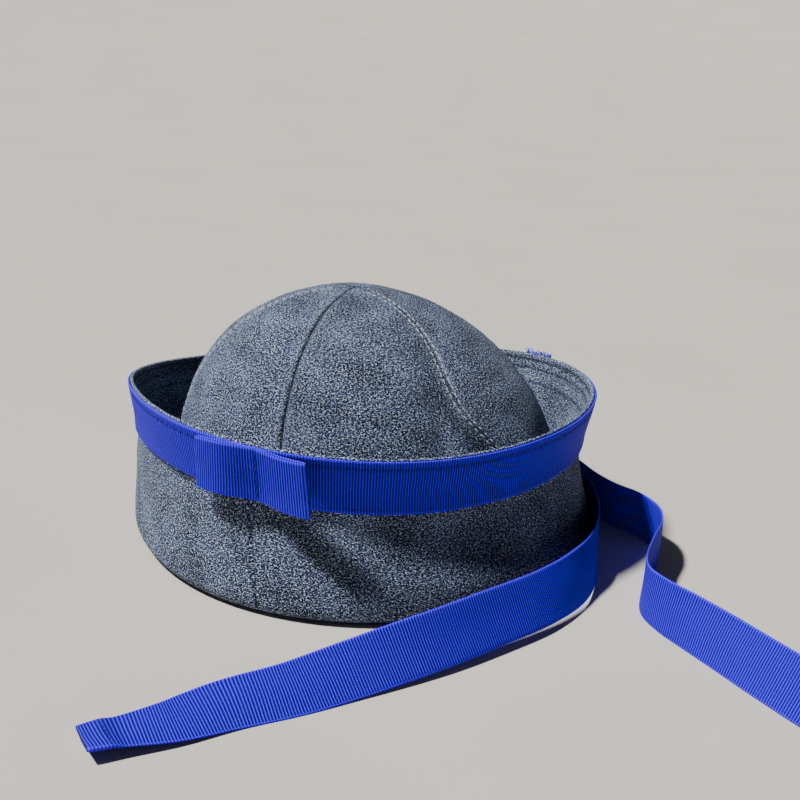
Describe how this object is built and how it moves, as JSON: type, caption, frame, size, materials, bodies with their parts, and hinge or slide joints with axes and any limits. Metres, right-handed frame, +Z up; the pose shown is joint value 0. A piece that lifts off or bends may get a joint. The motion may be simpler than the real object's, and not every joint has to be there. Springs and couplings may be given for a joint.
{
  "type": "sailor cap",
  "caption": "Soft sailor cap with a gored crown, a turned-up brim, a ribbon band with a flat bow tab and two long ribbon tails.",
  "frame": {"origin": "on the surface that the cap rests on, at the middle of its head opening", "axes": "+Z up through the crown, -Y towards the cap's front"},
  "size_m": [0.3201, 0.3569, 0.1127],
  "materials": {
    "flecked_cloth": "navy and white flecked plain weave, matte",
    "blue_ribbon": "royal blue ribbed grosgrain, soft sheen"
  },
  "bodies": {
    "root": {"crown_gore_1": "flecked_cloth", "crown_gore_2": "flecked_cloth", "crown_gore_3": "flecked_cloth", "crown_gore_4": "flecked_cloth", "crown_gore_5": "flecked_cloth", "crown_gore_6": "flecked_cloth", "brim_left": "flecked_cloth", "brim_right": "flecked_cloth", "ribbon_band": "blue_ribbon", "bow_tab": "blue_ribbon", "ribbon_tail_left": "blue_ribbon", "ribbon_tail_right": "blue_ribbon"}
  },
  "joints": []
}
